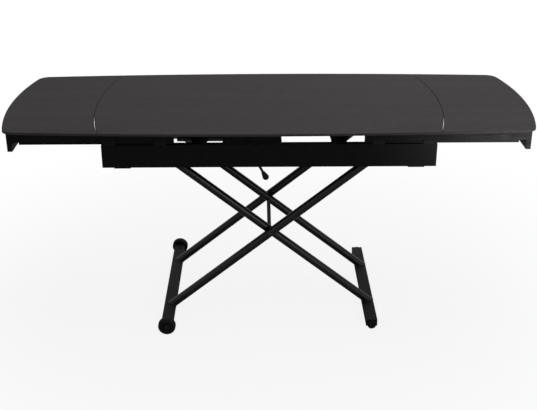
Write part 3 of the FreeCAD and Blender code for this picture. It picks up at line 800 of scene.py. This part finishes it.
@dataclass
class SocketScrew:
    """A button-head screw with a hexagon socket."""

    radius: float = 4.75 * MILLIMETRE
    height: float = 2.7 * MILLIMETRE
    key: float = 1.5 * MILLIMETRE
    depth: float = 1.6 * MILLIMETRE
    rim: float = 0.675 * MILLIMETRE
    crown: float = 2.025 * MILLIMETRE
    dome_shares: tuple[float, ...] = (0.3, 0.6, 0.85)
    segments: int = 24

    def build(self, name: str, spot: Vector, way: Vector) -> bpy.types.Object:
        """Make one screw head.

        Args:
            name: the piece's name.
            spot: where the head sits.
            way: the direction that it points.

        Returns:
            The screw head.
        """
        rings = [(self.radius, 0.0, False), (self.radius, self.rim, False)]
        for share in self.dome_shares:
            turn = share * math.pi / 2
            reach = self.crown + (self.radius - self.crown) * math.cos(turn)
            rise = self.rim + (self.height - self.rim) * math.sin(turn)
            rings.append((reach, rise, False))
        rings.append((self.crown, self.height, False))
        rings.append((self.key, self.height, True))
        rings.append((self.key, self.height - self.depth, True))
        shape = bmesh.new()
        loops = []
        for radius, height, keyed in rings:
            loop = []
            for step in range(self.segments):
                angle = 2 * math.pi * step / self.segments
                reach = radius
                if keyed:
                    reach = radius / math.cos((angle % (math.pi / 3)) - math.pi / 6)
                loop.append(shape.verts.new((reach * math.cos(angle), reach * math.sin(angle), height)))
            loops.append(loop)
        for low, high in zip(loops, loops[1:]):
            skin_rings(shape, low, high, self.segments)
        shape.faces.new(loops[-1])
        shape.faces.new(list(reversed(loops[0])))
        shape.transform(facing(spot, way))
        return new_piece(name, shape)


@dataclass
class SubAssembly:
    """A group of pieces that are built and finished together."""

    dressing: dict[Finish, tuple[str, ...]] = field(default_factory=dict, init=False)
    pieces: list[tuple[bpy.types.Object, Finish]] = field(default_factory=list, init=False)

    def build(self) -> None:
        """Make the pieces that the frame lacks."""

    def add(self, piece: bpy.types.Object, finish: Finish, body: str, slot: Slot) -> None:
        """Put a new piece on a body and note its finish.

        Args:
            piece: the new piece.
            finish: the finish that it gets.
            body: the body that carries it.
            slot: the record's slot for it; not used.
        """
        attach(piece, body)
        self.pieces.append((piece, finish))
        LOG.info("%s rides on %s", piece.name, body)

    def dress(self, palette: Palette) -> None:
        """Give the nodes and the new pieces their finishes.

        Args:
            palette: the materials.
        """
        for finish, nodes in self.dressing.items():
            for node in nodes:
                palette.paint(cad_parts[node], finish)
        for piece, finish in self.pieces:
            palette.paint(piece, finish)


@dataclass
class TopPanels(SubAssembly):
    """The centre top and its two leaves."""

    def build(self) -> None:
        """List the slabs, whose solids are already right."""
        self.dressing = {Finish.STONE: ("centre_top", "leaf_top_left", "leaf_top_right")}


@dataclass
class LeafCarriage(SubAssembly):
    """What carries one leaf: skirts, end panel, crossbars, runner frame and lift pins."""

    side: Side = Side.LEFT
    screw: SocketScrew = field(default_factory=SocketScrew)
    screw_rows: tuple[float, ...] = (0.08, 0.21)
    bar_width: float = 25 * MILLIMETRE

    def build(self) -> None:
        """Screw the crossbars to the leaf from below."""
        end = self.side.word
        self.dressing = {
            Finish.BOARD: (
                f"end_panel_{end}",
                f"leaf_skirt_front_{end}",
                f"leaf_skirt_rear_{end}",
                f"leaf_crossbars_{end}",
            ),
            Finish.MATT: (f"runner_frame_{end}",),
            Finish.STEEL: (f"lift_pins_{end}",),
            Finish.NYLON: (f"leaf_guides_{end}",),
        }
        low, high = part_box(f"leaf_crossbars_{end}")
        for bar, bar_x in enumerate((low.x + self.bar_width / 2, high.x - self.bar_width / 2)):
            for face in Face:
                for row, row_y in enumerate(self.screw_rows):
                    spot = Vector((bar_x, face.value * row_y, low.z))
                    name = f"crossbar_screw_{end}_{face.word}_{bar}_{row}"
                    head = self.screw.build(name, spot, DOWNWARD)
                    self.add(head, Finish.STEEL, f"leaf_{end}", Slot.STEEL)


@dataclass
class ApronBox(SubAssembly):
    """The channel-rail box that the lift and the top are fixed to."""

    screw: SocketScrew = field(default_factory=SocketScrew)
    plate_rows: tuple[float, ...] = (0.06, 0.19)
    lip: float = 16 * MILLIMETRE
    sheet: float = 3 * MILLIMETRE
    block_inset: float = 5.5 * MILLIMETRE

    def build(self) -> None:
        """Screw the beams, the hinge blocks and the lever's bracket on."""
        self.dressing = {
            Finish.MATT: (
                "front_rail",
                "rear_rail",
                "end_rail_left",
                "end_rail_right",
                "cross_member_left",
                "cross_member_right",
                "anchor_member",
                "support_beam_left",
                "support_beam_right",
                "support_plate",
                "spring_bracket",
                "lever_bracket",
            ),
            Finish.RUBBER: ("bumper_pads",),
            Finish.NYLON: ("hinge_block_front", "hinge_block_rear"),
        }
        self._plate_screws()
        self._block_screws()

    def _plate_screws(self) -> None:
        """Screws up through both lips of each support beam into the plate and the top."""
        for side in Side:
            low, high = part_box(f"support_beam_{side.word}")
            lip_z = high.z - self.sheet
            for lip, lip_x in enumerate((low.x + self.lip / 2, high.x - self.lip / 2)):
                for face in Face:
                    for row, row_y in enumerate(self.plate_rows):
                        spot = Vector((lip_x, face.value * row_y, lip_z))
                        name = f"plate_screw_{side.word}_{face.word}_{lip}_{row}"
                        head = self.screw.build(name, spot, DOWNWARD)
                        self.add(head, Finish.STEEL, "chassis", Slot.STEEL)

    def _block_screws(self) -> None:
        """Screws that hold the hinge blocks and the lever's bracket in the rails."""
        for node in ("hinge_block_front", "hinge_block_rear", "lever_bracket"):
            low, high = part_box(node)
            inward = 1 if low.y < 0 else -1
            inner_y = high.y if inward > 0 else low.y
            for end, screw_x in enumerate((low.x + self.block_inset, high.x - self.block_inset)):
                spot = Vector((screw_x, inner_y, high.z - self.block_inset))
                head = self.screw.build(f"{node}_screw_{end}", spot, Vector((0, inward, 0)))
                self.add(head, Finish.STEEL, "chassis", Slot.STEEL)


@dataclass
class WeldBead:
    """A rippled weld where a round leg stands on a flat floor bar."""

    radius: float = 2.4 * MILLIMETRE
    ripple: float = 0.16
    ripples: int = 30
    steps: int = 120
    sides: int = 8
    smooth_below: float = 60.0

    def build(self, name: str, axis_spot: Vector, way: Vector, tube: float, bar: str) -> bpy.types.Object:
        """Lay the bead along the line where the tube meets the bar.

        Args:
            name: the piece's name.
            axis_spot: a point on the tube's axis.
            way: the tube's direction, pointing up.
            tube: the tube's radius.
            bar: the node of the floor bar.

        Returns:
            The bead.
        """
        low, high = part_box(bar)
        across = Vector((0, 1, 0))
        lift = across.cross(way) * math.copysign(1, way.x)
        near_x = high.x if way.x > 0 else low.x
        far_x = low.x + self.radius if way.x > 0 else high.x - self.radius
        line = []
        for step in range(self.steps):
            angle = 2 * math.pi * step / self.steps
            outward = across * math.cos(angle) + lift * math.sin(angle)
            spot = axis_spot + outward * tube
            down = min((high.z - spot.z) / way.z, (near_x - spot.x) / way.x)
            seat = spot + way * down
            seat.x = max(seat.x, far_x) if way.x > 0 else min(seat.x, far_x)
            line.append((seat, outward))
        shape = bmesh.new()
        loops = []
        for step, (spot, outward) in enumerate(line):
            along = line[(step + 1) % self.steps][0] - line[step - 1][0]
            side = along.cross(outward).normalized()
            phase = 2 * math.pi * self.ripples * step / self.steps
            radius = self.radius * (1 + self.ripple * math.sin(phase))
            loop = []
            for corner in range(self.sides):
                turn = 2 * math.pi * corner / self.sides
                reach = outward * math.cos(turn) + side * math.sin(turn)
                loop.append(shape.verts.new(spot + reach * radius))
            loops.append(loop)
        for step, loop in enumerate(loops):
            skin_rings(shape, loop, loops[(step + 1) % self.steps], self.sides)
        return new_piece(name, shape, smooth_below=self.smooth_below)


@dataclass
class LegFrame(SubAssembly):
    """One of the two crossed leg frames, with its floor bar. The leg's angle is in degrees."""

    word: str = "outer"
    bar: str = "wheel_bar"
    bar_side: Side = Side.LEFT
    leg_angle: float = 38.7
    axle_height: float = 31 * MILLIMETRE
    tube: float = 15 * MILLIMETRE
    bead: WeldBead = field(default_factory=WeldBead)

    def build(self) -> None:
        """Weld both legs to the floor bar."""
        self.dressing = {
            Finish.PAINT: (f"{self.word}_leg_front", f"{self.word}_leg_rear"),
            Finish.MATT: (self.bar,),
            Finish.NYLON: (f"{self.bar}_plugs",),
            Finish.STEEL: (f"{self.word}_shaft",),
        }
        low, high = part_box(self.bar)
        turn = math.radians(self.leg_angle)
        way = Vector((-self.bar_side.value * math.cos(turn), 0, math.sin(turn)))
        for face in Face:
            leg_low, leg_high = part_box(f"{self.word}_leg_{face.word}")
            root = Vector(((low.x + high.x) / 2, (leg_low.y + leg_high.y) / 2, self.axle_height))
            name = f"{self.word}_weld_{face.word}"
            bead = self.bead.build(name, root, way, self.tube, self.bar)
            self.add(bead, Finish.PAINT, f"{self.word}_frame", Slot.PAINT)


@dataclass
class CrossPivot(SubAssembly):
    """The bolts, washers and tie bar where the leg frames cross."""

    def build(self) -> None:
        """List the pivot's nodes, whose solids are already right."""
        self.dressing = {
            Finish.MATT: ("cross_tie",),
            Finish.PAINT: ("pivot_bolt_front", "pivot_bolt_rear"),
            Finish.NYLON: ("pivot_washers", "roller_front", "roller_rear"),
        }


@dataclass
class FloorWheel(SubAssembly):
    """One wheel on the floor bar's end: a rubber tyre on a dished hub."""

    face: Face = Face.FRONT
    shoulder: float = 5 * MILLIMETRE
    tyre_depth: float = 9 * MILLIMETRE
    groove: float = 0.8 * MILLIMETRE
    groove_shares: tuple[float, ...] = (0.4, 0.6)
    arc_steps: int = 6
    dish: float = 2.5 * MILLIMETRE
    lip: float = 0.625 * MILLIMETRE
    bore: float = 6.2 * MILLIMETRE
    rim_share: float = 0.84
    rim_slope: float = 0.04
    boss_share: float = 0.52
    boss_slope: float = 0.06

    def build(self) -> None:
        """Turn the tyre and the hub, which stand for the plain wheel."""
        node = f"wheel_{self.face.word}"
        low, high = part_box(node)
        radius = (high.z - low.z) / 2
        width = high.y - low.y
        outer_y = low.y if self.face is Face.FRONT else high.y
        spot = Vector(((low.x + high.x) / 2, outer_y, (low.z + high.z) / 2))
        place = facing(spot, Vector((0, -self.face.value, 0)))
        tyre = lathe(f"tyre_{self.face.word}", self._tyre(radius, width), place)
        hub = lathe(f"hub_{self.face.word}", self._hub(radius - self.tyre_depth, width), place)
        self.add(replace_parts(tyre, node), Finish.RUBBER, node, Slot.RUBBER)
        self.add(hub, Finish.NYLON, node, Slot.NYLON)

    def _tyre(self, radius: float, width: float) -> Outline:
        """Draw the tyre's outline with round shoulders and two tread grooves.

        Args:
            radius: the wheel's radius.
            width: the wheel's width.

        Returns:
            The outline, as (radius, height) points.
        """
        inner = radius - self.tyre_depth
        flat = radius - self.shoulder
        outline = [(inner, 0.0)]
        outline += arc((flat, self.shoulder), self.shoulder, -90, 0, self.arc_steps)
        for share in self.groove_shares:
            middle = share * width
            outline.append((radius, middle - self.groove))
            outline.append((radius - self.groove, middle))
            outline.append((radius, middle + self.groove))
        outline += arc((flat, width - self.shoulder), self.shoulder, 0, 90, self.arc_steps)
        outline.append((inner, width))
        return outline

    def _hub(self, radius: float, width: float) -> Outline:
        """Draw the hub's outline, dished between its rim and its boss on both faces.

        Args:
            radius: the hub's radius, where the tyre begins.
            width: the wheel's width.

        Returns:
            The outline, as (radius, height) points.
        """
        rim = radius * self.rim_share
        boss = radius * self.boss_share
        outer = [
            (self.bore, 0.0),
            (boss * (1 - self.boss_slope), 0.0),
            (boss, self.lip),
            (boss * (1 + self.boss_slope), self.dish),
            (rim * (1 - self.rim_slope), self.dish),
            (rim, self.lip),
            (radius - self.groove, 0.0),
            (radius, self.groove),
        ]
        inner = [(reach, width - height) for reach, height in reversed(outer)]
        return outer + inner


@dataclass
class WheelAxles(SubAssembly):
    """The axles and levelling discs at the floor bars' ends."""

    def build(self) -> None:
        """List the axle and disc nodes."""
        self.dressing = {
            Finish.PAINT: ("wheel_axles",),
            Finish.NYLON: ("levelling_disc_front", "levelling_disc_rear"),
        }


@dataclass
class GasSpring(SubAssembly):
    """The gas spring that carries the top's weight."""

    seal_width: float = 6 * MILLIMETRE
    seal_proud: float = 0.8 * MILLIMETRE
    groove_spot: float = 16 * MILLIMETRE
    arc_steps: int = 10

    def build(self) -> None:
        """Add the rolled-in seal ring at the cylinder's mouth."""
        self.dressing = {Finish.PAINT: ("gas_cylinder",), Finish.BRIGHT: ("gas_rod",)}
        low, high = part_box("gas_cylinder")
        radius = (high.y - low.y) / 2
        middle = Vector((low.x + self.groove_spot, 0, (low.z + high.z) / 2))
        bulge = self.seal_width / 2
        outline = [(radius - self.seal_proud, 0.0)]
        outline += arc((radius + self.seal_proud - bulge, bulge), bulge, -90, 90, self.arc_steps)
        outline.append((radius - self.seal_proud, self.seal_width))
        ring = lathe("gas_seal_ring", outline, facing(middle, Vector((1, 0, 0))))
        self.add(ring, Finish.STEEL, "chassis", Slot.STEEL)


@dataclass
class ReleaseLever(SubAssembly):
    """The hand lever under the front rail."""

    def build(self) -> None:
        """List the lever's nodes, whose solids are already right."""
        self.dressing = {
            Finish.PAINT: ("lever_rod",),
            Finish.STEEL: ("lever_pin",),
            Finish.NYLON: ("lever_knob",),
        }


@dataclass
class Lamp:
    """One soft area lamp, with its spread in degrees."""

    name: str
    spot: Vector
    aim: Vector
    width: float
    depth: float
    power: float
    spread: float = 180.0

    def build(self) -> None:
        """Hang the lamp and aim it."""
        data = bpy.data.lights.new(self.name, "AREA")
        data.shape = "RECTANGLE"
        data.size = self.width
        data.size_y = self.depth
        data.energy = self.power
        data.spread = math.radians(self.spread)
        lamp = bpy.data.objects.new(self.name, data)
        lamp.matrix_world = facing(self.spot, self.spot - self.aim)
        lamp.visible_camera = False
        bpy.context.scene.collection.objects.link(lamp)


TABLE_MIDDLE = Vector((0, 0, 0.6))
RIGHT_SKIRT = Vector((0.84, -0.33, 0.73))
LAMPS = (
    Lamp("overhead_softbox", Vector((1.3, 0.3, 3.6)), TABLE_MIDDLE, width=3.2, depth=2.4, power=74.0),
    Lamp("front_fill", Vector((2.6, -3.6, 2.2)), TABLE_MIDDLE, width=2.4, depth=1.6, power=28.0),
    Lamp(
        "low_side_light",
        Vector((1.3, -1.9, 0.2)),
        RIGHT_SKIRT,
        width=0.4,
        depth=0.3,
        power=0.9,
        spread=24.0,
    ),
)


@dataclass
class Studio:
    """The floor, the light and the camera."""

    camera_spot: Vector = field(default_factory=lambda: Vector((-0.0297, -3.2282, 1.8018)))
    camera_pitch: float = 0.421
    camera_yaw: float = -0.0088
    camera_roll: float = -0.0022
    lens: float = 63.68
    sensor: float = 36.0
    floor_half: float = 9.0
    floor_squares: int = 8
    floor_colour: Colour = (0.62, 0.62, 0.62)
    floor_roughness: float = 0.9
    floor_specular: float = 0.1
    shade_radius: float = 0.7
    white_radius: float = 1.9
    whiteness: float = 0.88
    backdrop_level: float = 1.0
    world_level: float = 0.34
    sheen_level: float = 0.72

    def build(self) -> None:
        """Set up everything round the table."""
        self._camera()
        self._floor()
        self._world()
        for lamp in LAMPS:
            lamp.build()
        bpy.context.scene.view_settings.view_transform = "Standard"

    def _camera(self) -> None:
        """Stand the camera where the photograph was taken."""
        data = bpy.data.cameras.new("photo_camera")
        data.sensor_fit = "HORIZONTAL"
        data.sensor_width = self.sensor
        data.lens = self.lens
        camera = bpy.data.objects.new("photo_camera", data)
        turn = Matrix.Rotation(self.camera_yaw, 4, "Z")
        tilt = Matrix.Rotation(math.pi / 2 - self.camera_pitch, 4, "X")
        roll = Matrix.Rotation(self.camera_roll, 4, "Z")
        camera.matrix_world = Matrix.Translation(self.camera_spot) @ turn @ tilt @ roll
        bpy.context.scene.collection.objects.link(camera)
        bpy.context.scene.camera = camera

    def _floor(self) -> None:
        """Lay a pale floor that keeps the shadow near the table and turns white further out."""
        shape = bmesh.new()
        squares = self.floor_squares
        bmesh.ops.create_grid(shape, x_segments=squares, y_segments=squares, size=self.floor_half)
        floor = new_piece("studio_floor", shape)
        material = bpy.data.materials.new("pale_floor")
        material.use_nodes = True
        tree = material.node_tree
        shader = tree.nodes["Principled BSDF"]
        shader.inputs["Base Color"].default_value = opaque(self.floor_colour)
        shader.inputs["Roughness"].default_value = self.floor_roughness
        shader.inputs["Specular IOR Level"].default_value = self.floor_specular
        white = tree.nodes.new("ShaderNodeEmission")
        place = tree.nodes.new("ShaderNodeTexCoord")
        reach = tree.nodes.new("ShaderNodeVectorMath")
        reach.operation = "LENGTH"
        fade = tree.nodes.new("ShaderNodeMapRange")
        fade.interpolation_type = "SMOOTHSTEP"
        fade.inputs["From Min"].default_value = self.shade_radius
        fade.inputs["From Max"].default_value = self.white_radius
        fade.inputs["To Min"].default_value = self.whiteness
        seen = tree.nodes.new("ShaderNodeLightPath")
        direct = tree.nodes.new("ShaderNodeMath")
        direct.operation = "MULTIPLY"
        mix = tree.nodes.new("ShaderNodeMixShader")
        tree.links.new(place.outputs["Object"], reach.inputs[0])
        tree.links.new(reach.outputs["Value"], fade.inputs["Value"])
        tree.links.new(fade.outputs["Result"], direct.inputs[0])
        tree.links.new(seen.outputs["Is Camera Ray"], direct.inputs[1])
        for source, place in zip((direct, shader, white), mix.inputs):
            tree.links.new(source.outputs[0], place)
        tree.links.new(mix.outputs["Shader"], tree.nodes["Material Output"].inputs["Surface"])
        floor.data.materials.append(material)

    def _world(self) -> None:
        """Light the table softly from all round, with a brighter sheen and a white backdrop."""
        world = bpy.data.worlds.new("studio_world")
        world.use_nodes = True
        bpy.context.scene.world = world
        tree = world.node_tree
        backdrop = tree.nodes["Background"]
        backdrop.inputs["Color"].default_value = (1.0, 1.0, 1.0, 1.0)
        seen = tree.nodes.new("ShaderNodeLightPath")
        lifts = []
        for ray, level in (("Is Camera Ray", self.backdrop_level), ("Is Glossy Ray", self.sheen_level)):
            lift = tree.nodes.new("ShaderNodeMath")
            lift.operation = "MULTIPLY_ADD"
            lift.inputs[1].default_value = level - self.world_level
            tree.links.new(seen.outputs[ray], lift.inputs[0])
            lifts.append(lift)
        straight, glossy = lifts
        straight.inputs[2].default_value = self.world_level
        tree.links.new(straight.outputs["Value"], glossy.inputs[2])
        tree.links.new(glossy.outputs["Value"], backdrop.inputs["Strength"])


def main() -> None:
    """Build and finish every sub-assembly, then the studio."""
    logging.basicConfig(level=logging.INFO, format="%(name)s: %(message)s")
    palette = Palette()
    assemblies: list[SubAssembly] = [
        TopPanels(),
        LeafCarriage(side=Side.LEFT),
        LeafCarriage(side=Side.RIGHT),
        ApronBox(),
        LegFrame(word="outer", bar="wheel_bar", bar_side=Side.LEFT),
        LegFrame(word="inner", bar="foot_bar", bar_side=Side.RIGHT),
        CrossPivot(),
        FloorWheel(face=Face.FRONT),
        FloorWheel(face=Face.REAR),
        WheelAxles(),
        GasSpring(),
        ReleaseLever(),
    ]
    for assembly in assemblies:
        assembly.build()
        assembly.dress(palette)
        LOG.info("%s is finished", type(assembly).__name__)
    Studio().build()


if __name__ == "__main__":
    main()
